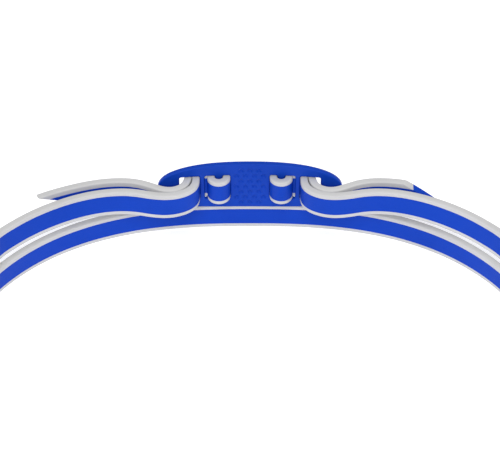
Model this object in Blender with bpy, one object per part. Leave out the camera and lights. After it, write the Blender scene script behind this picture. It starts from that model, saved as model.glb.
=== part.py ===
"""Head-strap ring: one two-coloured elastic strap, wound twice and closed at the back by a buckle plate.

The ring lies on its lower run. +Z is up, the buckle is at +Y, and the origin is the middle of the
ring on the surface that it rests on. Everything is in metres.
"""

import math

import bmesh
import bpy
from mathutils import Matrix, Vector
from mathutils.geometry import intersect_point_line

MM = 0.001

# Strap section: a blue core between two white edge strips, extruded together
STRAP_WIDTH = 7.4 * MM
STRAP_THICKNESS = 1.95 * MM
EDGE_STRIP_WIDTH = 1.18 * MM  # white strip, to the middle of the seam between the colours
EDGE_ROUNDING = 0.5 * MM
SEAM_GAP = 0.3 * MM

# Ring: a rounded square (superellipse) seen from above, measured to the strap's middle
RING_HALF_SIZE = 77 * MM
RING_POWER = 2.54
RING_SEGMENTS = 72

# Crossing at the front, where the two runs change places and on which the upper one hinges
CROSSING_HALF_ANGLE = math.radians(34)
CROSSING_GAP = 2.2 * MM
CROSSING_CUT = 0.3 * MM

# Buckle plate
PLATE_HALF_LENGTH = 23.95 * MM
PLATE_HALF_HEIGHT = 7.25 * MM
PLATE_POWER = 2.75
PLATE_GAP = 0.3 * MM  # over the lower run
PLATE_RISE = 0.25 * MM  # the plate's middle above the middle of the strap in it
PLATE_THICKNESS = 1.5 * MM
PLATE_EDGE_ROUNDING = 0.3 * MM
PLATE_BOW_RADIUS = 140 * MM
PLATE_FRONT_INSET = 1.7 * MM  # plate's inner face, inwards of the middle of the run below it
PLATE_SEGMENTS = 60

# Bars and windows of the plate
LOOP_BAR_MIDDLE = 8.1 * MM
LOOP_BAR_WIDTH = 1.65 * MM
OUTER_BAR_WIDTH = 1.2 * MM
OUTER_BAR_THICKNESS = 0.8 * MM  # it is cut back behind, so that the strap lies close to the plate
RECESS_MARGIN = 0.4 * MM  # of that cut, all round the bar
OUTER_BAR_PLAY = 0.7 * MM  # between the strap's loop and the outer bar
HOOK_WINDOW_PLAY = 1.25 * MM  # left over beside the two strands in the outermost window
WINDOW_CORNER = 0.6 * MM
FIT = 0.2 * MM  # clearance of the strap in the windows and between its layers

# Threading of the strap through the plate
LOOP_REACH = -0.15 * MM  # middle of the loop's half turn, in front of the plate's inner face
STRAND_TURN = 1.5 * MM  # turn of the incoming strand behind the outer bar, to the strap's middle
RETURN_TURN = 2.6 * MM  # turns of the returning layer, to the strap's middle

# Route of the strap's middle from the side of the ring to the outermost window, seen from above:
# distance outwards from the strand in that window, distance inwards from the ring's own curve, and
# how much further than the fit the free end stands off behind it
BULGE_ROUTE = [
    (47.6, 0.15, 2.9), (43.7, 0.6, 2.85), (39.7, 0.95, 2.75), (35.6, 1.3, 2.55), (31.4, 1.65, 2.3),
    (27.4, 2.1, 2.2), (23.6, 2.7, 2.2), (20.4, 3.4, 2.15), (17.6, 4.2, 2.05), (14.8, 5.25, 1.75),
    (12.0, 6.5, 1.2), (9.4, 7.4, 0.55), (7.2, 7.8, 0.15), (5.2, 7.75, 0.0), (3.4, 7.3, 0.05),
    (1.9, 6.5, 0.2), (0.8, 5.4, 0.3), (0.2, 4.05, 0.3), (0.0, 2.7, 0.15), (0.0, 1.55, 0.0),
]

# Free ends, measured from the buckle's middle along X
TAIL_START = 24.3 * MM
TAIL_HINGE_GAP = 0.6 * MM
LEFT_TAIL_TOP_REACH = 54.5 * MM
RIGHT_TAIL_TOP_REACH = 39.6 * MM
TAIL_CUT_RUN = 13.7 * MM  # how far the slanted cut runs along X from one edge to the other

# Corners this close are one corner
SAME_POINT = 0.002 * MM

# What follows from the sizes above
STRAP_STEP = STRAP_THICKNESS + FIT  # from one layer's middle to the next
LOOP_RADIUS = LOOP_BAR_WIDTH / 2 + FIT + STRAP_THICKNESS / 2
LOOP_OUTER = LOOP_BAR_MIDDLE + LOOP_RADIUS
OUTER_BAR_START = LOOP_OUTER + STRAP_THICKNESS / 2 + OUTER_BAR_PLAY
OUTER_BAR_END = OUTER_BAR_START + OUTER_BAR_WIDTH
STRAND_IN = OUTER_BAR_END + FIT + STRAP_THICKNESS / 2
STRAND_OUT = STRAND_IN + STRAP_STEP
HOOK_WINDOW_END = STRAND_OUT + STRAP_THICKNESS / 2 + FIT + HOOK_WINDOW_PLAY
LOWER_MIDDLE = STRAP_WIDTH / 2
UPPER_MIDDLE = STRAP_WIDTH + PLATE_GAP + PLATE_HALF_HEIGHT - PLATE_RISE
CROSSING_MIDDLE = (LOWER_MIDDLE + UPPER_MIDDLE) / 2
PLATE_FACE_Y = RING_HALF_SIZE - PLATE_FRONT_INSET


def reset_scene():
    for old in list(bpy.data.objects):
        bpy.data.objects.remove(old)


def new_collection(name):
    collection = bpy.data.collections.new(name)
    bpy.context.scene.collection.children.link(collection)
    return collection


def plain_material(name, colour, roughness):
    material = bpy.data.materials.new(name)
    material.use_nodes = True
    shader = material.node_tree.nodes["Principled BSDF"]
    shader.inputs["Base Color"].default_value = (*colour, 1)
    shader.inputs["Roughness"].default_value = roughness
    shader.inputs["Metallic"].default_value = 0
    return material


def smooth_step(x):
    x = min(max(x, 0), 1)
    return x * x * (3 - 2 * x)


def ring_point(angle, outward=0.0):
    """Point of the ring's middle line at an angle from the buckle, positive towards +X."""
    across, along = abs(math.sin(angle)), abs(math.cos(angle))
    radius = RING_HALF_SIZE / (across**RING_POWER + along**RING_POWER) ** (1 / RING_POWER)
    radius += outward
    return Vector((radius * math.sin(angle), radius * math.cos(angle), 0))


def ring_depth(x):
    """Distance of the ring's middle line behind the ring's centre, at this distance along X."""
    return RING_HALF_SIZE * (1 - (x / RING_HALF_SIZE) ** RING_POWER) ** (1 / RING_POWER)


def crossing_share(angle):
    """0 on the plain ring, rising to 1 at the crossing at the front."""
    return smooth_step((abs(angle) - math.pi + CROSSING_HALF_ANGLE) / CROSSING_HALF_ANGLE)


def run_point(angle, middle, side):
    """Point of a run; side is +1 where it passes outside the other at the crossing, -1 inside."""
    share = crossing_share(angle)
    height = middle + (CROSSING_MIDDLE - middle) * share
    apart = 1 - (1 - share) ** 4  # sideways first, so that the runs pass before they are level
    outward = side * apart * (STRAP_THICKNESS + CROSSING_GAP) / 2
    return ring_point(angle, outward) + Vector((0, 0, height))


def front_angle():
    """Angle at which a run is cut, just short of the middle of the front."""
    return math.pi - math.asin(CROSSING_CUT / 2 / RING_HALF_SIZE)


def near_plate(x, inwards, height=UPPER_MIDDLE):
    return Vector((x, PLATE_FACE_Y - inwards, height))


def arc(middle_x, middle_in, radius, start, end, steps):
    """Points of an arc seen from above; the angles run from +X towards the ring's inside."""
    points = []
    for i in range(steps + 1):
        angle = math.radians(start + (end - start) * i / steps)
        points.append(near_plate(middle_x + radius * math.cos(angle), middle_in + radius * math.sin(angle)))
    return points


def bulge_points():
    points = []
    for out, inwards, _ in BULGE_ROUTE:
        x = STRAND_IN + out * MM
        points.append(Vector((x, ring_depth(x) - inwards * MM, UPPER_MIDDLE)))
    return points


def tail_points():
    """The free end's middle line, from the outermost window outwards, kept off the main strand."""
    main = bulge_points()
    points = []
    for i, (_, _, extra) in enumerate(BULGE_ROUTE):
        ahead = main[max(i - 1, 0)] - main[min(i + 1, len(main) - 1)]
        away = Vector((ahead.y, -ahead.x, 0)).normalized()
        points.append(main[i] - away * (STRAP_STEP + extra * MM))
    return list(reversed(points))


def lower_route():
    end = front_angle()
    angles = [end * (2 * i / RING_SEGMENTS - 1) for i in range(RING_SEGMENTS + 1)]
    return [run_point(a, LOWER_MIDDLE, 1 if a > 0 else -1) for a in angles]


def side_route(side):
    """The plain part of an upper run, from the front to where it leaves the ring for the buckle.
    It is drawn for +X; side is +1 where it passes outside at the crossing."""
    leave_x = STRAND_IN + BULGE_ROUTE[0][0] * MM
    leave = math.atan2(leave_x, ring_depth(leave_x))
    end = front_angle()
    steps = int(RING_SEGMENTS * (end - leave) / (2 * math.pi))
    angles = [end + (leave - end) * i / steps for i in range(steps)]
    return [run_point(a, UPPER_MIDDLE, side) for a in angles]


def plate_bow(x):
    """How far the plate stands inwards of its middle."""
    return PLATE_BOW_RADIUS - math.sqrt(PLATE_BOW_RADIUS**2 - x**2)


def threaded_route():
    """From the outermost window behind the outer bar, round the loop bar and back to that window."""
    bar_back = plate_bow((OUTER_BAR_START + OUTER_BAR_END) / 2) - OUTER_BAR_THICKNESS
    first_layer = bar_back - FIT - STRAP_THICKNESS / 2
    second_layer = first_layer - STRAP_STEP
    loop_turn = LOOP_REACH - first_layer
    return_start = second_layer + RETURN_TURN
    loop_inner = LOOP_OUTER - 2 * LOOP_RADIUS
    points = arc(STRAND_IN - STRAND_TURN, first_layer + STRAND_TURN, STRAND_TURN, 0, -90, 4)
    points += arc(LOOP_OUTER + loop_turn, LOOP_REACH, loop_turn, 270, 180, 4)
    points += arc(LOOP_BAR_MIDDLE, LOOP_REACH, LOOP_RADIUS, 0, 180, 10)[1:]
    points += arc(loop_inner + RETURN_TURN, return_start, RETURN_TURN, 180, 270, 5)
    points += arc(STRAND_OUT - RETURN_TURN, return_start, RETURN_TURN, -90, 0, 5)
    return points


def at_reach(route, reach):
    """The point of a route that is this far from the buckle's middle along X."""
    for last, point in zip(route, route[1:]):
        if abs(last.x) <= reach <= abs(point.x):
            return last.lerp(point, (reach - abs(last.x)) / (abs(point.x) - abs(last.x)))
    return route[-1]


def before_reach(route, reach):
    return [p for p in route if abs(p.x) < reach] + [at_reach(route, reach)]


def beyond_reach(route, reach):
    return [at_reach(route, reach)] + [p for p in route if abs(p.x) > reach]


def upper_routes(side):
    """Route of one upper run with its threading, and route of its free end, both for +X."""
    tail = tail_points()
    held = before_reach(tail, TAIL_START - TAIL_HINGE_GAP / 2)
    free = beyond_reach(tail, TAIL_START + TAIL_HINGE_GAP / 2)
    return side_route(side) + bulge_points() + threaded_route() + held, free


def strip_profiles():
    """Outlines of the core and the two edge strips: across the strap, and up from its middle."""
    half = STRAP_THICKNESS / 2
    seam = STRAP_WIDTH / 2 - EDGE_STRIP_WIDTH
    core_edge = seam - SEAM_GAP / 2
    strip_edge = seam + SEAM_GAP / 2
    top = STRAP_WIDTH / 2
    upper = [
        (-half, strip_edge), (half, strip_edge), (half, top - EDGE_ROUNDING),
        (half - EDGE_ROUNDING, top), (EDGE_ROUNDING - half, top), (-half, top - EDGE_ROUNDING),
    ]
    core = [(-half, -core_edge), (half, -core_edge), (half, core_edge), (-half, core_edge)]
    lower = [(x, -y) for x, y in reversed(upper)]
    return {"core": core, "top_edge": upper, "bottom_edge": lower}


def add_spline(curve, points, closed):
    spline = curve.splines.new("POLY")
    spline.points.add(len(points) - 1)
    for target, point in zip(spline.points, points):
        target.co = (*point, 1)
    spline.use_cyclic_u = closed


def new_curve(name, dimensions):
    curve = bpy.data.curves.new(name, "CURVE")
    curve.dimensions = dimensions
    return curve


def close_slits(shape):
    """Splits each open edge at an open corner that lies on it: a cut can drop a triangle with no area."""
    corners = [v for v in shape.verts if any(e.is_boundary for e in v.link_edges)]
    for corner in corners:
        for edge in [e for e in shape.edges if e.is_boundary and corner not in e.verts]:
            start, end = (v.co for v in edge.verts)
            nearest, share = intersect_point_line(corner.co, start, end)
            if 0 < share < 1 and (nearest - corner.co).length < SAME_POINT:
                bmesh.utils.edge_split(edge, edge.verts[0], share)
                break
    bmesh.ops.remove_doubles(shape, verts=shape.verts, dist=SAME_POINT)


def as_mesh_object(name, curve_object, collection, material):
    """A closed mesh object made from a curve, with the curve's loose caps welded on."""
    depsgraph = bpy.context.evaluated_depsgraph_get()
    mesh = bpy.data.meshes.new_from_object(curve_object.evaluated_get(depsgraph))
    mesh.name = name
    shape = bmesh.new()
    shape.from_mesh(mesh)
    bmesh.ops.remove_doubles(shape, verts=shape.verts, dist=0.01 * MM)
    bmesh.ops.recalc_face_normals(shape, faces=shape.faces)
    shape.to_mesh(mesh)
    shape.free()
    mesh.materials.clear()
    mesh.materials.append(material)
    made = bpy.data.objects.new(name, mesh)
    made.matrix_world = curve_object.matrix_world
    bpy.data.objects.remove(curve_object)
    collection.objects.link(made)
    return made


def strip(name, route, profile, collection, material):
    """One strip of the strap: its section carried along a route, standing on edge all the way."""
    section_curve = new_curve(name + "_section", "2D")
    add_spline(section_curve, [(x, y, 0) for x, y in profile], True)
    section = bpy.data.objects.new(name + "_section", section_curve)
    path_curve = new_curve(name + "_path", "3D")
    add_spline(path_curve, route, False)
    path_curve.twist_mode = "Z_UP"
    path_curve.bevel_mode = "OBJECT"
    path_curve.bevel_object = section
    path_curve.use_fill_caps = True
    path = bpy.data.objects.new(name + "_path", path_curve)
    for helper in (section, path):
        bpy.context.scene.collection.objects.link(helper)
    bpy.context.view_layer.update()
    made = as_mesh_object(name, path, collection, material)
    bpy.data.objects.remove(section)
    return made


def cut_slanted(strip_object, top_reach, bottom_reach, route):
    """Cut a free end on the slant, square to its face, between its reaches at top and bottom."""
    reaches = sorted((top_reach, bottom_reach))
    near, middle, far = (at_reach(route, x) for x in (reaches[0], sum(reaches) / 2, reaches[1]))
    heading = (far - near).normalized()
    across = Vector((-heading.y, heading.x, 0))
    top_lead = (top_reach - bottom_reach) / abs(heading.x)
    normal = (heading * top_lead + Vector((0, 0, STRAP_WIDTH))).cross(across).normalized()
    if normal.dot(heading) < 0:
        normal = -normal
    shape = bmesh.new()
    shape.from_mesh(strip_object.data)
    everything = list(shape.verts) + list(shape.edges) + list(shape.faces)
    cut = bmesh.ops.bisect_plane(
        shape, geom=everything, plane_co=middle, plane_no=normal, clear_outer=True
    )
    edges = [item for item in cut["geom_cut"] if isinstance(item, bmesh.types.BMEdge)]
    bmesh.ops.holes_fill(shape, edges=edges)
    bmesh.ops.recalc_face_normals(shape, faces=shape.faces)
    shape.to_mesh(strip_object.data)
    shape.free()


def plate_outline():
    points = []
    for i in range(PLATE_SEGMENTS):
        angle = 2 * math.pi * i / PLATE_SEGMENTS
        across, up = math.cos(angle), math.sin(angle)
        radius = (abs(across) ** PLATE_POWER + abs(up) ** PLATE_POWER) ** (-1 / PLATE_POWER)
        x = PLATE_HALF_LENGTH * radius * across
        points.append((x, PLATE_HALF_HEIGHT * radius * up + PLATE_RISE, 0))
    return points


def rounded_window(left, right):
    """Outline of a window that the strap fits upright."""
    corner, steps = WINDOW_CORNER, 3
    half_height = STRAP_WIDTH / 2 + FIT
    points = []
    for quarter, (x, y) in enumerate([
        (right - corner, half_height - corner), (left + corner, half_height - corner),
        (left + corner, corner - half_height), (right - corner, corner - half_height),
    ]):
        for i in range(steps + 1):
            angle = math.pi / 2 * (quarter + i / steps)
            points.append((x + corner * math.cos(angle), y + corner * math.sin(angle), 0))
    return points


def plate_windows():
    """Left and right limits along X of the windows on one side, from the middle outwards."""
    inner_window_start = LOOP_BAR_MIDDLE - LOOP_RADIUS - STRAP_THICKNESS / 2 - FIT
    return [
        (inner_window_start, LOOP_BAR_MIDDLE - LOOP_BAR_WIDTH / 2),
        (LOOP_BAR_MIDDLE + LOOP_BAR_WIDTH / 2, OUTER_BAR_START),
        (OUTER_BAR_END, HOOK_WINDOW_END),
    ]


def thin_outer_bars(plate):
    """Cuts a channel across the back of each outer bar, a little into the plate above and below it."""
    face = PLATE_THICKNESS / 2
    half_height = STRAP_WIDTH / 2 + FIT + RECESS_MARGIN
    for side in (-1, 1):
        low = Vector((OUTER_BAR_START - RECESS_MARGIN, -half_height, -2 * face))
        high = Vector((OUTER_BAR_END + RECESS_MARGIN, half_height, face - OUTER_BAR_THICKNESS))
        if side < 0:
            low.x, high.x = -high.x, -low.x
        shape = bmesh.new()
        bmesh.ops.create_cube(shape, size=1)
        for vertex in shape.verts:
            vertex.co = (low + high) / 2 + Vector(a * b for a, b in zip(vertex.co, high - low))
        mesh = bpy.data.meshes.new("bar_recess")
        shape.to_mesh(mesh)
        shape.free()
        channel = bpy.data.objects.new("bar_recess", mesh)
        channel.matrix_world = plate.matrix_world
        bpy.context.scene.collection.objects.link(channel)
        cut = plate.modifiers.new("bar_recess", "BOOLEAN")
        cut.object = channel
        cut.operation = "DIFFERENCE"
        cut.solver = "EXACT"
        bpy.context.view_layer.update()
        depsgraph = bpy.context.evaluated_depsgraph_get()
        result = bpy.data.meshes.new_from_object(plate.evaluated_get(depsgraph))
        plate.modifiers.clear()
        plate.data = result
        bpy.data.objects.remove(channel)
    shape = bmesh.new()
    shape.from_mesh(plate.data)
    bmesh.ops.remove_doubles(shape, verts=shape.verts, dist=SAME_POINT)
    close_slits(shape)
    bmesh.ops.triangulate(shape, faces=shape.faces)
    shape.to_mesh(plate.data)
    shape.free()


def buckle_plate(collection, material):
    """The flat moulding with three windows a side, bowed to follow the ring."""
    curve = new_curve("buckle_plate_outline", "2D")
    add_spline(curve, plate_outline(), True)
    for start, end in plate_windows():
        for low, high in ((start, end), (-end, -start)):
            add_spline(curve, rounded_window(low, high), True)
    curve.fill_mode = "BOTH"
    curve.extrude = PLATE_THICKNESS / 2 - PLATE_EDGE_ROUNDING
    curve.bevel_depth = PLATE_EDGE_ROUNDING
    curve.offset = -PLATE_EDGE_ROUNDING
    curve.bevel_resolution = 1
    flat = bpy.data.objects.new("buckle_plate_outline", curve)
    bpy.context.scene.collection.objects.link(flat)
    upright = Matrix.Rotation(math.pi / 2, 4, "X")
    middle = near_plate(0, -PLATE_THICKNESS / 2)
    flat.matrix_world = Matrix.Translation(middle) @ upright
    bpy.context.view_layer.update()
    made = as_mesh_object("buckle_plate", flat, collection, material)
    thin_outer_bars(made)
    for vertex in made.data.vertices:
        vertex.co.z += plate_bow(vertex.co.x)
    return made


def shade_round(made):
    made.data.shade_smooth()
    made.data.set_sharp_from_angle(angle=math.radians(35))


def build():
    reset_scene()
    parts = new_collection("head_strap_ring")
    blue = plain_material("strap_blue", (0.013, 0.065, 0.53), 0.5)
    white = plain_material("strap_white", (0.62, 0.62, 0.62), 0.55)
    moulding = plain_material("buckle_blue", (0.012, 0.058, 0.44), 0.4)
    profiles = strip_profiles()
    colours = {"core": blue, "top_edge": white, "bottom_edge": white}
    mirror = Matrix.Diagonal((-1, 1, 1))

    right_run, right_tail = upper_routes(-1)
    left_run, left_tail = ([mirror @ p for p in route] for route in upper_routes(1))
    for band, profile in profiles.items():
        strip("lower_run_" + band, lower_route(), profile, parts, colours[band])
        strip("left_run_" + band, left_run, profile, parts, colours[band])
        strip("right_run_" + band, right_run, profile, parts, colours[band])
        left = strip("left_tail_" + band, left_tail, profile, parts, colours[band])
        cut_slanted(left, LEFT_TAIL_TOP_REACH, LEFT_TAIL_TOP_REACH - TAIL_CUT_RUN, left_tail)
        right = strip("right_tail_" + band, right_tail, profile, parts, colours[band])
        cut_slanted(right, RIGHT_TAIL_TOP_REACH, RIGHT_TAIL_TOP_REACH + TAIL_CUT_RUN, right_tail)
    buckle_plate(parts, moulding)
    for made in parts.objects:
        shade_round(made)


build()
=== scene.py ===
"""Looks of the head-strap ring: camera and studio, then the strap run by run, then the buckle plate."""

import math

import bmesh
import bpy
from mathutils import Matrix, Vector


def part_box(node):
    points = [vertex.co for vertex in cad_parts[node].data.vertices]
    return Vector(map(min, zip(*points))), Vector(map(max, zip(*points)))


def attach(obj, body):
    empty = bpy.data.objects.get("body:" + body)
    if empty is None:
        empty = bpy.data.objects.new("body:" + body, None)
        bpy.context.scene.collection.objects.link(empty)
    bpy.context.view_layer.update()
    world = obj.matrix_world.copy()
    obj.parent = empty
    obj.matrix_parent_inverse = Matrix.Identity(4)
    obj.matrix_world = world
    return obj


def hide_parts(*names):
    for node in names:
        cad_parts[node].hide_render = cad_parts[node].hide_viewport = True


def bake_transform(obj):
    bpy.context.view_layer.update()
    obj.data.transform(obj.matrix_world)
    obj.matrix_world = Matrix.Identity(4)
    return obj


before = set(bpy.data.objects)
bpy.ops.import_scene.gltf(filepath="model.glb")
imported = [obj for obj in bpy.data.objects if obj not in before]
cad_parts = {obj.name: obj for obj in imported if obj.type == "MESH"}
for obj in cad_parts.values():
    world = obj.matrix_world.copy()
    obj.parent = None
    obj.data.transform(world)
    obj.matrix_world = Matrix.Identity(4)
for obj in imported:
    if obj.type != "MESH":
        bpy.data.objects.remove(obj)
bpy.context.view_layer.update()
MM = 0.001

# ---------------------------------------------------------------- camera
# A long lens looks down into the ring from the front, at the inner side of its back, so that the
# buckle plate stands a little above the middle of the view and the front stays below it.
CAMERA_ELEVATION = math.radians(42)
CAMERA_DISTANCE = 520 * MM
CAMERA_LENS = 144
SENSOR_WIDTH = 36
PLATE_ABOVE_AXIS = 10.44 * MM
PLATE_FACE_INSET = 2.675 * MM  # the plate's inner face, inwards of the lower run's outer face
SLOT_ABOVE_STRAP = 0.6 * MM

tail_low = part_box("left_tail_bottom_edge")[0].z
tail_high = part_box("left_tail_top_edge")[1].z
UPPER_MIDDLE = (tail_low + tail_high) / 2
RING_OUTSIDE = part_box("lower_run_core")[1].x
PLATE_FACE_Y = RING_OUTSIDE - PLATE_FACE_INSET

sight = Vector((0, math.cos(CAMERA_ELEVATION), -math.sin(CAMERA_ELEVATION)))
upright = Vector((0, math.sin(CAMERA_ELEVATION), math.cos(CAMERA_ELEVATION)))
slot_middle = Vector((0, PLATE_FACE_Y, UPPER_MIDDLE + SLOT_ABOVE_STRAP))
camera_data = bpy.data.cameras.new("camera")
camera_data.lens = CAMERA_LENS
camera_data.sensor_width = SENSOR_WIDTH
camera_data.clip_start = 0.01
camera = bpy.data.objects.new("camera", camera_data)
camera.location = slot_middle - sight * CAMERA_DISTANCE - upright * PLATE_ABOVE_AXIS
camera.rotation_euler = (math.pi / 2 - CAMERA_ELEVATION, 0, 0)
bpy.context.scene.collection.objects.link(camera)
bpy.context.scene.camera = camera


# ---------------------------------------------------------------- studio
# A white sweep lit evenly from all sides, with one broad soft light over the ring's front and a
# weaker one at each side, as for a catalogue picture.
FLOOR_HALF = 3.0
FLOOR_DROP = 0.05 * MM  # keeps the floor's face apart from the strap's lower edge
PAPER_GLOW = 0.35
SKY_LIGHT = 0.55

floor_mesh = bpy.data.meshes.new("studio_floor")
floor_shape = bmesh.new()
bmesh.ops.create_grid(floor_shape, x_segments=2, y_segments=2, size=FLOOR_HALF)
floor_shape.to_mesh(floor_mesh)
floor_shape.free()
floor = bpy.data.objects.new("studio_floor", floor_mesh)
floor.location.z = -FLOOR_DROP
bpy.context.scene.collection.objects.link(floor)
paper = bpy.data.materials.new("studio_paper")
paper.use_nodes = True
paper_shader = paper.node_tree.nodes["Principled BSDF"]
paper_shader.inputs["Base Color"].default_value = (0.9, 0.9, 0.9, 1)
paper_shader.inputs["Roughness"].default_value = 0.9
paper_shader.inputs["Specular IOR Level"].default_value = 0.1
paper_shader.inputs["Emission Color"].default_value = (1, 1, 1, 1)
paper_shader.inputs["Emission Strength"].default_value = PAPER_GLOW
floor_mesh.materials.append(paper)

world = bpy.data.worlds.new("studio")
world.use_nodes = True
background = world.node_tree.nodes["Background"]
background.inputs["Color"].default_value = (1, 1, 1, 1)
background.inputs["Strength"].default_value = SKY_LIGHT
bpy.context.scene.world = world
bpy.context.scene.view_settings.view_transform = "Standard"


def soft_light(name, place, size, power):
    """A round area light that faces the middle of the ring."""
    lamp = bpy.data.lights.new(name, "AREA")
    lamp.shape = "DISK"
    lamp.size = size
    lamp.energy = power
    light = bpy.data.objects.new(name, lamp)
    light.location = place
    light.rotation_euler = (Vector((0, 0, 0)) - Vector(place)).to_track_quat("-Z", "Y").to_euler()
    bpy.context.scene.collection.objects.link(light)


soft_light("key_light", place=(-0.1, -0.8, 0.95), size=0.9, power=10.5)
soft_light("left_light", place=(-0.9, 0.3, 0.5), size=0.5, power=1.3)
soft_light("right_light", place=(0.9, 0.2, 0.5), size=0.5, power=1.3)


# ---------------------------------------------------------------- lower run of the strap
# One length of elastomer, extruded as a blue core between two white edges. It stands on its lower
# edge in a rounded square, passes just under the buckle plate, and ends here short of the crossing.
STRAP_WIDTH = tail_high - tail_low
STRAP_THICKNESS = 1.95 * MM
EDGE_WIDTH = 1.18 * MM  # on the face inside the ring; the white laps further over the other
OUTER_EDGE_WIDTH = 1.5 * MM
EDGE_ROUNDING = 0.42 * MM
EDGE_ROUNDING_STEPS = 6
SEAM_ROUNDING = 0.04 * MM
SHARP_ANGLE = math.radians(35)  # steeper edges are shaded as creases
LEAN_PIVOT = 2.1 * MM  # a leaning length turns about a line this far above its middle
RING_HALF_SIZE = RING_OUTSIDE - STRAP_THICKNESS / 2
RING_POWER = 2.54
LOWER_MIDDLE = STRAP_WIDTH / 2
CROSSING_MIDDLE = (LOWER_MIDDLE + UPPER_MIDDLE) / 2
CROSSING_HALF_ANGLE = math.radians(34)
CROSSING_GAP = 2.2 * MM
TWIST_HALF_ANGLE = math.radians(20)  # the part of the crossing that is a piece of its own
RUN_STEP = math.radians(1.5)


def smooth_step(x):
    x = min(max(x, 0), 1)
    return x * x * (3 - 2 * x)


def ring_point(angle, outward=0.0):
    """Point of the strap's middle line at an angle from the buckle, positive towards +X."""
    across, along = abs(math.sin(angle)), abs(math.cos(angle))
    radius = RING_HALF_SIZE / (across**RING_POWER + along**RING_POWER) ** (1 / RING_POWER) + outward
    return Vector((radius * math.sin(angle), radius * math.cos(angle), 0))


def run_point(angle, middle, side):
    """Point of a run; side is +1 where it passes outside the other at the crossing, -1 inside."""
    nearness = max(0.0, 1 - (math.pi - abs(angle)) / CROSSING_HALF_ANGLE)
    height = middle + (CROSSING_MIDDLE - middle) * 2 * smooth_step(nearness / 2)
    apart = 1 - (1 - smooth_step(nearness)) ** 3
    outward = side * apart * (STRAP_THICKNESS + CROSSING_GAP) / 2
    return ring_point(angle, outward) + Vector((0, 0, height))


def run_between(start, end, middle, side):
    """Points along a run from one angle up to, but without, another."""
    steps = max(1, round(abs(end - start) / RUN_STEP))
    return [run_point(start + (end - start) * i / steps, middle, side) for i in range(steps)]


def rounded_outline(lows, highs, low_rounding, high_rounding):
    """Anticlockwise outline of a strip; its lows and highs are on the outer face, then on the inner."""
    half = STRAP_THICKNESS / 2
    corners = [
        (half, lows[0], low_rounding, -90), (half, highs[0], high_rounding, 0),
        (-half, highs[1], high_rounding, 90), (-half, lows[1], low_rounding, 180),
    ]
    outline = []
    for number, (x, y, rounding, start) in enumerate(corners):
        middle_x = x - math.copysign(rounding, x)
        middle_y = y + rounding if number in (0, 3) else y - rounding
        count = EDGE_ROUNDING_STEPS if rounding > SEAM_ROUNDING else 1
        for i in range(count + 1):
            angle = math.radians(start + 90 * i / count)
            outline.append((middle_x + rounding * math.cos(angle), middle_y + rounding * math.sin(angle)))
    return outline


# Heights from the strap's middle, on the outer face and on the inner one
rim = (STRAP_WIDTH / 2, STRAP_WIDTH / 2)
seam = (STRAP_WIDTH / 2 - OUTER_EDGE_WIDTH, STRAP_WIDTH / 2 - EDGE_WIDTH)
low_rim, low_seam = ([-height for height in heights] for heights in (rim, seam))
STRIPS = {
    "core": rounded_outline(low_seam, seam, SEAM_ROUNDING, SEAM_ROUNDING),
    "top_edge": rounded_outline(seam, rim, SEAM_ROUNDING, EDGE_ROUNDING),
    "bottom_edge": rounded_outline(low_rim, low_seam, EDGE_ROUNDING, SEAM_ROUNDING),
}


def swept_strip(name, route, first, last, outline, leans):
    """A closed strip: the outline carried along part of a route, its top leaning out of the ring."""
    shape = bmesh.new()
    rings = []
    for i in range(first, last + 1):
        ahead = (route[min(i + 1, len(route) - 1)] - route[max(i - 1, 0)]).normalized()
        sideways = ahead.cross(Vector((0, 0, 1))).normalized()
        up = sideways.cross(ahead)
        lean = leans[i] if leans else 0.0
        sideways, up = (
            sideways * math.cos(lean) - up * math.sin(lean),
            up * math.cos(lean) + sideways * math.sin(lean),
        )
        middle = route[i] - sideways * LEAN_PIVOT * math.sin(lean)
        rings.append([shape.verts.new(middle + sideways * x + up * y) for x, y in outline])
    count = len(outline)
    for near, far in zip(rings, rings[1:]):
        for i in range(count):
            j = (i + 1) % count
            shape.faces.new((near[i], near[j], far[j], far[i]))
    shape.faces.new(rings[0])
    shape.faces.new(list(reversed(rings[-1])))
    bmesh.ops.recalc_face_normals(shape, faces=shape.faces)
    mesh = bpy.data.meshes.new(name)
    shape.to_mesh(mesh)
    shape.free()
    made = bpy.data.objects.new(name, mesh)
    bpy.context.scene.collection.objects.link(made)
    return made


def round_shading(made, sharp_angle=SHARP_ANGLE):
    """Shades a piece as smooth, with creases along its sharp edges."""
    made.data.shade_smooth()
    made.data.set_sharp_from_angle(angle=sharp_angle)


# Extruded surface: lines drawn along the strap by the die, a fine grain, and slow clouds of tone
EXTRUDED_VALUES = {"Line Density": 5200, "Grain Size": 3600, "Cloud Size": 55, "Line Depth": 0.8}
GRAIN_IN_TONE = 0.45  # how much of the lines and the grain the tone takes over

extruded = bpy.data.node_groups.new("extruded_surface", "ShaderNodeTree")
for name in ("Height", "Tone", "Cloud"):
    extruded.interface.new_socket(name, in_out="OUTPUT", socket_type="NodeSocketFloat")
for name, value in EXTRUDED_VALUES.items():
    socket = extruded.interface.new_socket(name, in_out="INPUT", socket_type="NodeSocketFloat")
    socket.default_value = value
extruded_in = extruded.nodes.new("NodeGroupInput")
extruded_out = extruded.nodes.new("NodeGroupOutput")
place = extruded.nodes.new("ShaderNodeTexCoord")
heights = extruded.nodes.new("ShaderNodeSeparateXYZ")
lines = extruded.nodes.new("ShaderNodeTexNoise")
lines.noise_dimensions = "1D"
lines.inputs["Detail"].default_value = 2
grain = extruded.nodes.new("ShaderNodeTexNoise")
grain.inputs["Detail"].default_value = 3
clouds = extruded.nodes.new("ShaderNodeTexNoise")
clouds.inputs["Detail"].default_value = 4
deep_lines = extruded.nodes.new("ShaderNodeMath")
deep_lines.operation = "MULTIPLY"
both = extruded.nodes.new("ShaderNodeMath")
both.operation = "ADD"
tone = extruded.nodes.new("ShaderNodeMath")
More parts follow.
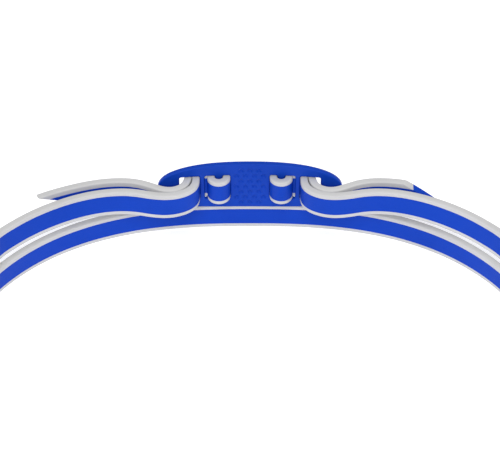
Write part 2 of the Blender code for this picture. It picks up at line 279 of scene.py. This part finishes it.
tone.operation = "MULTIPLY_ADD"
tone.inputs[1].default_value = GRAIN_IN_TONE
link = extruded.links.new
link(place.outputs["Object"], heights.inputs[0])
link(heights.outputs["Z"], lines.inputs["W"])
link(extruded_in.outputs["Line Density"], lines.inputs["Scale"])
link(place.outputs["Object"], grain.inputs["Vector"])
link(extruded_in.outputs["Grain Size"], grain.inputs["Scale"])
link(place.outputs["Object"], clouds.inputs["Vector"])
link(extruded_in.outputs["Cloud Size"], clouds.inputs["Scale"])
link(lines.outputs["Fac"], deep_lines.inputs[0])
link(extruded_in.outputs["Line Depth"], deep_lines.inputs[1])
link(deep_lines.outputs[0], both.inputs[0])
link(grain.outputs["Fac"], both.inputs[1])
link(both.outputs[0], tone.inputs[0])
link(clouds.outputs["Fac"], tone.inputs[2])
link(both.outputs[0], extruded_out.inputs["Height"])
link(tone.outputs[0], extruded_out.inputs["Tone"])
link(clouds.outputs["Fac"], extruded_out.inputs["Cloud"])


NOISE_LOW, NOISE_HIGH = 0.3, 0.7  # most of a noise lies between these
TONE_LOW, TONE_HIGH = 0.65, 1.0  # and most of the extruded surface's tone between these


def ranged(tree, source, low, high):
    """A mask spread over a range of values."""
    spread = tree.nodes.new("ShaderNodeMapRange")
    spread.inputs["From Min"].default_value = NOISE_LOW
    spread.inputs["From Max"].default_value = NOISE_HIGH
    spread.inputs["To Min"].default_value = low
    spread.inputs["To Max"].default_value = high
    tree.links.new(source, spread.inputs["Value"])
    return spread.outputs["Result"]


def tinted(tree, source, dark, light, start=NOISE_LOW, end=NOISE_HIGH):
    """A colour between two tones, by a mask."""
    tones = tree.nodes.new("ShaderNodeValToRGB")
    tones.color_ramp.elements[0].position = start
    tones.color_ramp.elements[0].color = (*dark, 1)
    tones.color_ramp.elements[1].position = end
    tones.color_ramp.elements[1].color = (*light, 1)
    tree.links.new(source, tones.inputs["Fac"])
    return tones.outputs["Color"]


def elastomer(name, dark, light, roughness, softness):
    """Extruded elastomer in a satin finish; softness is how much light passes into it."""
    material = bpy.data.materials.new(name)
    material.use_nodes = True
    tree = material.node_tree
    shader = tree.nodes["Principled BSDF"]
    surface = tree.nodes.new("ShaderNodeGroup")
    surface.node_tree = extruded
    bump = tree.nodes.new("ShaderNodeBump")
    bump.inputs["Strength"].default_value = 0.5
    bump.inputs["Distance"].default_value = 0.05 * MM
    tree.links.new(surface.outputs["Height"], bump.inputs["Height"])
    tree.links.new(bump.outputs["Normal"], shader.inputs["Normal"])
    colour = tinted(tree, surface.outputs["Tone"], dark, light, TONE_LOW, TONE_HIGH)
    tree.links.new(colour, shader.inputs["Base Color"])
    varied = ranged(tree, surface.outputs["Cloud"], roughness - 0.05, roughness + 0.05)
    tree.links.new(varied, shader.inputs["Roughness"])
    shader.inputs["Subsurface Weight"].default_value = softness
    shader.inputs["Subsurface Scale"].default_value = 0.4 * MM
    shader.inputs["Subsurface Radius"].default_value = (1, 1, 1)
    shader.inputs["Specular IOR Level"].default_value = 0.09
    return material


strap_blue = elastomer(
    "strap_blue", dark=(0.0018, 0.0435, 0.415), light=(0.0032, 0.05, 0.46), roughness=0.45, softness=0
)
strap_white = elastomer(
    "strap_white", dark=(0.52, 0.518, 0.52), light=(0.57, 0.569, 0.572), roughness=0.5, softness=0.1
)
STRIP_FINISH = {
    "core": (strap_blue, "strap_blue"),
    "top_edge": (strap_white, "strap_white"),
    "bottom_edge": (strap_white, "strap_white"),
}


def strap_length(name, route, first, last, facing=-1, leans=None):
    """The three strips of one length of the strap; facing is -1 where the route runs clockwise."""
    made = {}
    for strip, outline in STRIPS.items():
        faced = [(facing * x, y) for x, y in outline]
        piece = swept_strip(name + "_" + strip, route, first, last, faced, leans)
        round_shading(piece)
        material, slot = STRIP_FINISH[strip]
        piece.data.materials.append(material)
        made[strip] = piece
    return made


# One route goes twice round: up the climb at the front, round the flat lower run and up again
twist_start = math.pi - TWIST_HALF_ANGLE
inner_climb = run_between(twist_start, math.pi, UPPER_MIDDLE, -1)
inner_climb += run_between(-math.pi, -twist_start, LOWER_MIDDLE, -1)
outer_climb = run_between(twist_start, math.pi, LOWER_MIDDLE, 1)
outer_climb += run_between(-math.pi, -twist_start, UPPER_MIDDLE, 1)
flat_run = run_between(-twist_start, 0, LOWER_MIDDLE, -1)
flat_run += run_between(0, twist_start, LOWER_MIDDLE, 1)
twice_round = inner_climb + flat_run + outer_climb + [run_point(-twist_start, UPPER_MIDDLE, 1)]
flat_start = len(inner_climb)
flat_end = flat_start + len(flat_run)
for strip, piece in strap_length("lower_strap", twice_round, flat_start, flat_end).items():
    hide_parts("lower_run_" + strip)
    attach(piece, "lower_run")


# ---------------------------------------------------------------- crossing at the front
# The strap goes round twice, so at the front each end of the lower run climbs to the upper level,
# one outside and one inside. Both strands twist there when the two runs are spread apart.
for name, first, last in (("inner", 0, flat_start), ("outer", flat_end, len(twice_round) - 1)):
    for piece in strap_length(name + "_crossing", twice_round, first, last).values():
        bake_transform(piece)


# ---------------------------------------------------------------- upper run and its threading
# From the crossing each side of the upper run comes round to the back, bulges into the ring and goes
# out through the plate's outermost window, behind the outer bar, round the loop bar and back out.
PLATE_THICKNESS = 1.5 * MM
FIT = 0.07 * MM  # the elastomer grips the bars and its own layers
LOOP_BAR_MIDDLE = 8.1 * MM
LOOP_BAR_WIDTH = 1.8 * MM
OUTER_BAR_WIDTH = 1.2 * MM
OUTER_BAR_THICKNESS = 0.8 * MM
OUTER_BAR_PLAY = 0.7 * MM
LOOP_REACH = 0.0 * MM  # middle of the turn round the loop bar, in front of the plate's inner face
STRAND_TURN = 1.5 * MM  # turns to the strap's middle: of the strand that comes in,
INNER_TURN = 1.5 * MM  # of the layer that leaves the loop bar,
RETURN_TURN = 2.6 * MM  # and of the layer that goes out again
TURN_STEP = 11  # degrees
PLATE_BOW_RADIUS = 140 * MM
STRAP_STEP = STRAP_THICKNESS + FIT
LOOP_RADIUS = LOOP_BAR_WIDTH / 2 + 2 * FIT + STRAP_THICKNESS / 2
LOOP_OUTER = LOOP_BAR_MIDDLE + LOOP_RADIUS
OUTER_BAR_START = LOOP_OUTER + STRAP_THICKNESS / 2 + OUTER_BAR_PLAY
OUTER_BAR_END = OUTER_BAR_START + OUTER_BAR_WIDTH
STRAND_IN = OUTER_BAR_END + FIT + STRAP_THICKNESS / 2
STRAND_OUT = STRAND_IN + STRAP_STEP
# For each point of the bulge, in mm: outwards from the strand in the window, inwards from the ring's
# curve, and how far the free end stands off behind it, beyond the fit
BULGE_ROUTE = [
    (47.6, 0.15, 2.9), (43.7, 0.6, 2.85), (39.7, 0.95, 2.75), (35.6, 1.3, 2.55), (31.4, 1.65, 2.3),
    (27.4, 2.1, 2.2), (23.6, 2.7, 2.2), (20.4, 3.4, 2.15), (17.6, 4.2, 2.05), (14.8, 5.25, 1.75),
    (12.0, 6.5, 1.2), (9.4, 7.4, 0.55), (7.2, 7.8, 0.15), (5.2, 7.75, 0.0), (3.4, 7.3, 0.05),
    (1.9, 6.5, 0.2), (0.8, 5.4, 0.3), (0.2, 4.05, 0.3), (0.0, 2.7, 0.15), (0.0, 1.55, 0.0),
]
# The bulging strand leans a little from the plate's end on, and more further out along X. It stands
# straight again on its way round the ring's side
LEAN_NEAR_PLATE = 1.9  # degrees
LEAN_GAIN = 3.6  # degrees
LEAN_BEGINS, LEAN_SETTLES = 17 * MM, 23 * MM
LEAN_START, LEAN_PEAK = 25 * MM, 62 * MM
LEAN_FADES, LEAN_ENDS = 0.3, 0.9  # shares of the way from the ring's back to its side
SMOOTHING_ROUNDS = 2
TAIL_PIECE_START = 20 * MM  # out along X, where the free end becomes a piece of its own


def smoothed(points):
    """More points on the same curve, by four-point subdivision."""
    for _ in range(SMOOTHING_ROUNDS):
        denser = [points[0]]
        for i in range(len(points) - 1):
            before = points[i - 1] if i else points[0] * 2 - points[1]
            after = points[i + 2] if i + 2 < len(points) else points[-1] * 2 - points[-2]
            middle = (points[i] + points[i + 1]) * 9 / 16 - (before + after) / 16
            denser += [middle, points[i + 1]]
        points = denser
    return points


def ring_depth(x):
    """How far back the ring's curve is at a distance along X."""
    return RING_HALF_SIZE * (1 - (x / RING_HALF_SIZE) ** RING_POWER) ** (1 / RING_POWER)


def plate_bow(x):
    """How far the plate stands inwards of its middle."""
    return PLATE_BOW_RADIUS - math.sqrt(PLATE_BOW_RADIUS**2 - x**2)


def near_plate(x, inwards):
    """A point of the threading, inwards from the plate's face before it is bowed."""
    return Vector((x, PLATE_FACE_Y - inwards, UPPER_MIDDLE))


def turn(middle_x, middle_in, radius, start, end):
    """Points of a turn round a bar, in degrees, seen from above with the inside of the ring up."""
    steps = math.ceil(abs(end - start) / TURN_STEP)
    angles = [math.radians(start + (end - start) * i / steps) for i in range(steps + 1)]
    return [near_plate(middle_x + radius * math.cos(a), middle_in + radius * math.sin(a)) for a in angles]


bulge = [
    Vector((STRAND_IN + out * MM, ring_depth(STRAND_IN + out * MM) - inwards * MM, UPPER_MIDDLE))
    for out, inwards, _ in BULGE_ROUTE
]
# The free end leaves the window on the bulge's outer side and runs back along it
free_end = []
for i, (_, _, standoff) in enumerate(BULGE_ROUTE):
    back = bulge[max(i - 1, 0)] - bulge[min(i + 1, len(bulge) - 1)]
    away = Vector((back.y, -back.x, 0)).normalized()
    free_end.insert(0, bulge[i] - away * (STRAP_STEP + standoff * MM))

# The first layer passes behind the outer bar, comes forward and goes round the loop bar. The second
# one goes back behind the first and turns out through the outermost window again
bar_back = plate_bow((OUTER_BAR_START + OUTER_BAR_END) / 2) - OUTER_BAR_THICKNESS
first_layer = bar_back - FIT - STRAP_THICKNESS / 2
second_layer = first_layer - STRAP_STEP
loop_turn = LOOP_REACH - first_layer
loop_inside = LOOP_OUTER - 2 * LOOP_RADIUS
threading = turn(STRAND_IN - STRAND_TURN, first_layer + STRAND_TURN, STRAND_TURN, 0, -90)
threading += turn(LOOP_OUTER + loop_turn, LOOP_REACH, loop_turn, 270, 180)
threading += turn(LOOP_BAR_MIDDLE, LOOP_REACH, LOOP_RADIUS, 0, 180)[1:]
threading += turn(loop_inside + INNER_TURN, second_layer + INNER_TURN, INNER_TURN, 180, 270)
threading += turn(STRAND_OUT - RETURN_TURN, second_layer + RETURN_TURN, RETURN_TURN, -90, 0)

leaving_angle = math.atan2(bulge[0].x, ring_depth(bulge[0].x))


def lean_at(point):
    """How far the upper strand's top leans outwards, in radians."""
    beyond_plate = smooth_step((point.x - LEAN_BEGINS) / (LEAN_SETTLES - LEAN_BEGINS))
    rising = smooth_step((point.x - LEAN_START) / (LEAN_PEAK - LEAN_START))
    way_round = (RING_HALF_SIZE - point.y) / RING_HALF_SIZE
    falling = smooth_step((way_round - LEAN_FADES) / (LEAN_ENDS - LEAN_FADES))
    return math.radians(LEAN_NEAR_PLATE + LEAN_GAIN * rising) * (1 - falling) * beyond_plate


def upper_route(side):
    """The right-hand upper strand to its end, its leans, and the index where its free end starts."""
    round_side = run_between(twist_start, leaving_angle, UPPER_MIDDLE, side)
    held = round_side + smoothed([round_side[-1]] + bulge)[2**SMOOTHING_ROUNDS:]
    leans = [lean_at(point) for point in held]
    held += threading
    whole = held + smoothed(free_end)
    leans += [0.0] * (len(whole) - len(leans))
    start = next(i for i in range(len(held), len(whole)) if whole[i].x > TAIL_PIECE_START)
    return whole, leans, start


mirror = Matrix.Diagonal((-1, 1, 1))
right_route, right_leans, right_tail = upper_route(-1)
left_route, left_leans, left_tail = upper_route(1)
left_route = [mirror @ point for point in left_route]
left_leans = [-lean for lean in left_leans]
UPPER_STRANDS = (
    ("left", left_route, left_leans, left_tail, -1),
    ("right", right_route, right_leans, right_tail, 1),
)
for side, route, leans, tail_start, facing in UPPER_STRANDS:
    for strip, piece in strap_length(side + "_strap", route, 0, tail_start, facing, leans).items():
        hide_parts(side + "_run_" + strip)
        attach(piece, "upper_run")


# ---------------------------------------------------------------- free ends
# Behind the plate each end of the strap runs back along its own side and stops at a slanted cut. The
# ends are loose, so they bend away from the ring just beyond the plate.
CUT_REACHES = {  # of the cut's upper and lower corner, out along X
    "left": (54.5 * MM, 40.8 * MM),
    "right": (39.6 * MM, 53.3 * MM),
}
DIRECTION_STEP = 1 * MM


def at_reach(route, reach):
    """The point of a route at a distance along X from the ring's middle."""
    for near, far in zip(route, route[1:]):
        if abs(near.x) <= reach <= abs(far.x):
            return near.lerp(far, (reach - abs(near.x)) / (abs(far.x) - abs(near.x)))
    return route[-1]


for side, route, _, tail_start, facing in UPPER_STRANDS:
    free = route[tail_start:]
    top, bottom = (at_reach(free, reach) for reach in CUT_REACHES[side])
    top = top + Vector((0, 0, STRAP_WIDTH / 2))
    bottom = bottom - Vector((0, 0, STRAP_WIDTH / 2))
    cut_middle = abs(top.x + bottom.x) / 2
    along = at_reach(free, cut_middle + DIRECTION_STEP) - at_reach(free, cut_middle)
    across = along.cross(Vector((0, 0, 1)))
    cut_normal = (top - bottom).cross(across)
    if cut_normal.dot(along) < 0:
        cut_normal = -cut_normal
    for strip, piece in strap_length(side + "_end", route, tail_start, len(route) - 1, facing).items():
        shape = bmesh.new()
        shape.from_mesh(piece.data)
        geometry = shape.verts[:] + shape.edges[:] + shape.faces[:]
        bmesh.ops.bisect_plane(shape, geom=geometry, plane_co=top, plane_no=cut_normal, clear_outer=True)
        open_edges = [edge for edge in shape.edges if edge.is_boundary]
        bmesh.ops.holes_fill(shape, edges=open_edges)
        bmesh.ops.recalc_face_normals(shape, faces=shape.faces)
        shape.to_mesh(piece.data)
        shape.free()
        round_shading(piece)
        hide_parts(side + "_tail_" + strip)
        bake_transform(piece)


# ---------------------------------------------------------------- buckle plate
# One injection moulding in satin plastic, bowed to follow the ring, with three windows a side for the
# strap and a patch of small round dimples in the middle of its inner face.
plate_low, plate_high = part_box("buckle_plate")
PLATE_HALF_LENGTH = (plate_high.x - plate_low.x) / 2
PLATE_HALF_HEIGHT = (plate_high.z - plate_low.z) / 2
PLATE_MIDDLE_Z = (plate_high.z + plate_low.z) / 2
WINDOW_MIDDLE = UPPER_MIDDLE - PLATE_MIDDLE_Z
PLATE_POWER = 2.75
PLATE_OUTLINE_STEPS = 240
PLATE_ROUNDING = 0.3 * MM
PLATE_SLICE = 0.75 * MM
PLATE_SHARP_ANGLE = math.radians(40)
WINDOW_CORNER = 0.6 * MM
WINDOW_CORNER_STEPS = 6
WINDOW_PLAY = 0.2 * MM  # above and below the strap
HOOK_WINDOW_PLAY = 1.25 * MM  # left over beside the two strands in the outermost window
RECESS_MARGIN = 0.4 * MM  # of the cut behind the outer bars, all round
DIMPLE_ROWS = (3, 4, 3, 4, 3, 4, 3)
DIMPLE_ROW_STEP = 1.78 * MM
DIMPLE_COLUMN_STEP = 2.35 * MM
DIMPLE_SIDES = 28
DIMPLE_PROFILE = (  # half of the cutter's section in mm: out from its middle, and up from the face
    (0.0, -0.36), (0.16, -0.35), (0.32, -0.305), (0.46, -0.23), (0.57, -0.135),
    (0.64, -0.055), (0.69, -0.015), (0.76, 0.02), (0.76, 0.3), (0.0, 0.3),
)
WELD = 0.001  # mm, between points that are one

outline = []
for i in range(PLATE_OUTLINE_STEPS):
    angle = 2 * math.pi * i / PLATE_OUTLINE_STEPS
    across, up = math.cos(angle), math.sin(angle)
    radius = (abs(across) ** PLATE_POWER + abs(up) ** PLATE_POWER) ** (-1 / PLATE_POWER)
    outline.append((PLATE_HALF_LENGTH * radius * across, PLATE_HALF_HEIGHT * radius * up))


def window_outline(left, right):
    """A window as high as the strap and its fit, with rounded corners, anticlockwise."""
    corner = WINDOW_CORNER
    half = STRAP_WIDTH / 2 + WINDOW_PLAY
    points = []
    for quarter, (x, y) in enumerate((
        (right - corner, half - corner), (left + corner, half - corner),
        (left + corner, corner - half), (right - corner, corner - half),
    )):
        for i in range(WINDOW_CORNER_STEPS + 1):
            angle = math.pi / 2 * (quarter + i / WINDOW_CORNER_STEPS)
            points.append((x + corner * math.cos(angle), WINDOW_MIDDLE + y + corner * math.sin(angle)))
    return points


def evaluated_mesh(thing):
    """A new mesh of a curve or of an object with its modifiers applied."""
    bpy.context.view_layer.update()
    return bpy.data.meshes.new_from_object(thing.evaluated_get(bpy.context.evaluated_depsgraph_get()))


windows = [
    (LOOP_BAR_MIDDLE - LOOP_RADIUS - STRAP_THICKNESS / 2 - FIT / 4, LOOP_BAR_MIDDLE - LOOP_BAR_WIDTH / 2),
    (LOOP_BAR_MIDDLE + LOOP_BAR_WIDTH / 2, OUTER_BAR_START),
    (OUTER_BAR_END, STRAND_OUT + STRAP_THICKNESS / 2 + FIT + HOOK_WINDOW_PLAY),
]
windows += [(-end, -start) for start, end in windows]

# Cut out at a thousand times its size, which the boolean cut needs, and reduced when it is bowed
plate_curve = bpy.data.curves.new("plate_outline", "CURVE")
plate_curve.dimensions = "2D"
plate_curve.fill_mode = "BOTH"
plate_curve.extrude = (PLATE_THICKNESS / 2 - PLATE_ROUNDING) / MM
plate_curve.bevel_depth = PLATE_ROUNDING / MM
plate_curve.offset = -PLATE_ROUNDING / MM
plate_curve.bevel_resolution = 4
for loop in [outline] + [window_outline(left, right) for left, right in windows]:
    spline = plate_curve.splines.new("POLY")
    spline.points.add(len(loop) - 1)
    spline.use_cyclic_u = True
    for point, (x, y) in zip(spline.points, loop):
        point.co = (x / MM, y / MM, 0, 1)
blank = bpy.data.objects.new("plate_blank", plate_curve)
bpy.context.scene.collection.objects.link(blank)
plate_mesh = evaluated_mesh(blank)
bpy.data.objects.remove(blank)
plate = bpy.data.objects.new("moulded_plate", plate_mesh)
bpy.context.scene.collection.objects.link(plate)

shape = bmesh.new()
shape.from_mesh(plate_mesh)
bmesh.ops.remove_doubles(shape, verts=shape.verts, dist=WELD)
bmesh.ops.recalc_face_normals(shape, faces=shape.faces)
shape.to_mesh(plate_mesh)
shape.free()

# Turned cutters for the dimples, staggered by rows, and a box behind each outer bar
cutters = bmesh.new()
for row, count in enumerate(DIMPLE_ROWS):
    for column in range(count):
        x = (column - (count - 1) / 2) * DIMPLE_COLUMN_STEP
        y = WINDOW_MIDDLE + (row - (len(DIMPLE_ROWS) - 1) / 2) * DIMPLE_ROW_STEP
        middle = Vector((x, y, PLATE_THICKNESS / 2)) / MM
        rings = []
        for out, up in DIMPLE_PROFILE:
            if out == 0:
                rings.append([cutters.verts.new(middle + Vector((0, 0, up)))])
                continue
            angles = [2 * math.pi * i / DIMPLE_SIDES for i in range(DIMPLE_SIDES)]
            rings.append([
                cutters.verts.new(middle + Vector((out * math.cos(a), out * math.sin(a), up)))
                for a in angles
            ])
        for inner, outer in zip(rings, rings[1:]):
            for i in range(DIMPLE_SIDES):
                j = (i + 1) % DIMPLE_SIDES
                if len(inner) == 1:
                    cutters.faces.new((inner[0], outer[j], outer[i]))
                elif len(outer) == 1:
                    cutters.faces.new((inner[i], inner[j], outer[0]))
                else:
                    cutters.faces.new((inner[i], inner[j], outer[j], outer[i]))
recess_half = STRAP_WIDTH / 2 + WINDOW_PLAY + RECESS_MARGIN
recess_start, recess_end = OUTER_BAR_START - RECESS_MARGIN, OUTER_BAR_END + RECESS_MARGIN
for left, right in ((-recess_end, -recess_start), (recess_start, recess_end)):
    low = (left, WINDOW_MIDDLE - recess_half, -PLATE_THICKNESS)
    high = (right, WINDOW_MIDDLE + recess_half, PLATE_THICKNESS / 2 - OUTER_BAR_THICKNESS)
    for vertex in bmesh.ops.create_cube(cutters, size=1)["verts"]:
        vertex.co = [((a + b) / 2 + c * (b - a)) / MM for a, b, c in zip(low, high, vertex.co)]
cutter_mesh = bpy.data.meshes.new("dimples_and_recesses")
cutters.to_mesh(cutter_mesh)
cutters.free()
cutter = bpy.data.objects.new("dimples_and_recesses", cutter_mesh)
bpy.context.scene.collection.objects.link(cutter)
cut = plate.modifiers.new("dimples_and_recesses", "BOOLEAN")
cut.object = cutter
cut.operation = "DIFFERENCE"
cut.solver = "EXACT"
plate.data = evaluated_mesh(plate)
plate.modifiers.clear()
bpy.data.objects.remove(cutter)

# Sliced across its length, so that the flat faces bend smoothly, then bowed and stood upright
shape = bmesh.new()
shape.from_mesh(plate.data)
bmesh.ops.remove_doubles(shape, verts=shape.verts, dist=WELD)
bmesh.ops.triangulate(shape, faces=shape.faces)
slices = math.floor(PLATE_HALF_LENGTH / PLATE_SLICE)
for i in range(-slices, slices + 1):
    bmesh.ops.bisect_plane(
        shape, geom=shape.verts[:] + shape.edges[:] + shape.faces[:],
        plane_co=((i + 0.5) * PLATE_SLICE / MM, 0, 0), plane_no=(1, 0, 0), dist=WELD / 2,
    )
for vertex in shape.verts:
    x, y, z = vertex.co * MM
    vertex.co = (x, PLATE_FACE_Y + PLATE_THICKNESS / 2 - z - plate_bow(x), PLATE_MIDDLE_Z + y)
bmesh.ops.recalc_face_normals(shape, faces=shape.faces)
shape.to_mesh(plate.data)
shape.free()
round_shading(plate, PLATE_SHARP_ANGLE)
even = plate.modifiers.new("even_shading", "WEIGHTED_NORMAL")
even.keep_sharp = True

# Satin plastic: a fine sparked grain from the mould, and slow clouds of tone where it flowed
moulded = bpy.data.materials.new("moulded_blue")
moulded.use_nodes = True
tree = moulded.node_tree
shader = tree.nodes["Principled BSDF"]
spark = tree.nodes.new("ShaderNodeTexNoise")
spark.inputs["Scale"].default_value = 3400
spark.inputs["Detail"].default_value = 3
flow = tree.nodes.new("ShaderNodeTexNoise")
flow.inputs["Scale"].default_value = 90
flow.inputs["Detail"].default_value = 5
place = tree.nodes.new("ShaderNodeTexCoord")
bump = tree.nodes.new("ShaderNodeBump")
bump.inputs["Strength"].default_value = 0.5
bump.inputs["Distance"].default_value = 0.04 * MM
tree.links.new(place.outputs["Object"], spark.inputs["Vector"])
tree.links.new(place.outputs["Object"], flow.inputs["Vector"])
tree.links.new(spark.outputs["Fac"], bump.inputs["Height"])
tree.links.new(bump.outputs["Normal"], shader.inputs["Normal"])
colour = tinted(tree, flow.outputs["Fac"], dark=(0.0035, 0.0435, 0.385), light=(0.006, 0.05, 0.425))
tree.links.new(colour, shader.inputs["Base Color"])
tree.links.new(ranged(tree, flow.outputs["Fac"], 0.36, 0.46), shader.inputs["Roughness"])
shader.inputs["Specular IOR Level"].default_value = 0.08
plate.data.materials.clear()
plate.data.materials.append(moulded)
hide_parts("buckle_plate")
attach(plate, "upper_run")
